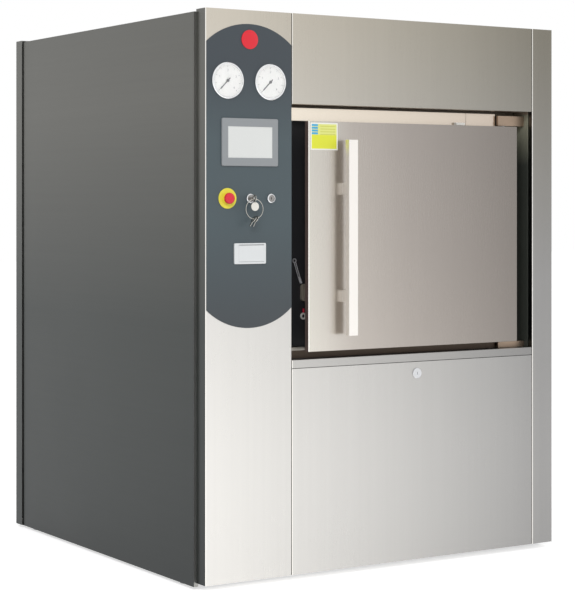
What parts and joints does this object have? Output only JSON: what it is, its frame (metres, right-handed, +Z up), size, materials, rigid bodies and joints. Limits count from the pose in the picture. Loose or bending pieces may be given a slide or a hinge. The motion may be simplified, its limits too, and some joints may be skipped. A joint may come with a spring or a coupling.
{
  "type": "horizontal autoclave",
  "caption": "Floor-standing cabinet autoclave with a rectangular steam chamber behind a hinged pressure door, and a control column with gauges, screen, printer and stop button.",
  "frame": {"origin": "bottom centre of the bounding box, on the floor plane under the levelling feet", "axes": "+Z up, front facing -Y, +X to the right seen from the front"},
  "size_m": [1.512, 1.543, 1.922],
  "materials": {
    "facade_steel": "brushed",
    "side_steel": "brushed",
    "frame_paint": "satin",
    "foot_steel": "satin",
    "recess_paint": "satin",
    "polished_steel": "polished",
    "bracket_steel": "satin",
    "machined_steel": "machined",
    "door_inner_steel": "satin",
    "chamber_steel": "satin",
    "gasket_rubber": "matt",
    "panel_paint": "satin",
    "chrome_trim": "polished",
    "dial_white": "satin",
    "needle_black": "satin",
    "gauge_glass": "clear",
    "bezel_grey": "matt",
    "display_grey": "gloss",
    "stop_yellow": "satin",
    "stop_red": "gloss",
    "key_steel": "satin",
    "tag_white": "matt",
    "printer_white": "satin",
    "paper_white": "matt",
    "spring_steel": "satin",
    "lug_metal": "satin"
  },
  "bodies": {
    "cabinet": {"side_rails": "frame_paint", "cross_rails": "frame_paint", "corner_posts": "frame_paint", "levelling_feet": "foot_steel", "left_side_panel": "side_steel", "right_side_panel": "side_steel", "rear_panel": "side_steel", "top_panel": "side_steel", "control_column": "facade_steel", "right_column": "facade_steel", "header_panel": "facade_steel", "service_panel": "facade_steel", "ledge_strip": "facade_steel", "service_lock": "chrome_trim", "recess_lining": "recess_paint", "recess_back": "recess_paint", "lintel_bar": "polished_steel", "sill_bar": "recess_paint", "sill_step": "bracket_steel", "striker_block": "chrome_trim", "hinge_brackets": "bracket_steel", "chamber_flange": "machined_steel", "door_gasket": "gasket_rubber", "chamber_shell": "chamber_steel", "chamber_end": "chamber_steel", "chamber_rails": "chamber_steel", "drain_strainer": "chamber_steel", "stand_beams": "frame_paint", "stand_legs": "frame_paint", "latch_link": "bracket_steel", "latch_spring": "spring_steel", "cable_lug": "lug_metal", "control_panel": "panel_paint", "gauge_cases": "chrome_trim", "gauge_dials": "dial_white", "gauge_needles": "needle_black", "gauge_glasses": "gauge_glass", "screen_bezel": "bezel_grey", "screen_display": "display_grey", "stop_collar": "stop_yellow", "key_switches": "chrome_trim", "keys": "key_steel", "key_ring": "key_steel", "key_tag": "tag_white", "printer_frame": "printer_white", "printer_case": "printer_white", "paper_roll": "paper_white"},
    "door": {"door_cover": "facade_steel", "door_plate": "machined_steel", "door_ribs": "door_inner_steel", "door_arms": "bracket_steel", "pivot_pins": "machined_steel", "handle_bar": "polished_steel", "handle_standoffs": "polished_steel"},
    "stop_button": {"stop_button": "stop_red"},
    "printer_cover": {"printer_cover": "printer_white"}
  },
  "joints": [
    {"name": "door_hinge", "type": "hinge", "parent": "cabinet", "child": "door", "pos_m": [0.555, -0.6545, 1.1665], "axis": [0, 0, 1], "range_deg": [0, 110]},
    {"name": "stop_push", "type": "slide", "parent": "cabinet", "child": "stop_button", "axis": [0, 1, 0], "range_m": [0, 0.004]},
    {"name": "printer_flap", "type": "hinge", "parent": "cabinet", "child": "printer_cover", "pos_m": [-0.5685, -0.7195, 1.0865], "axis": [1, 0, 0], "range_deg": [0, 80]}
  ]
}
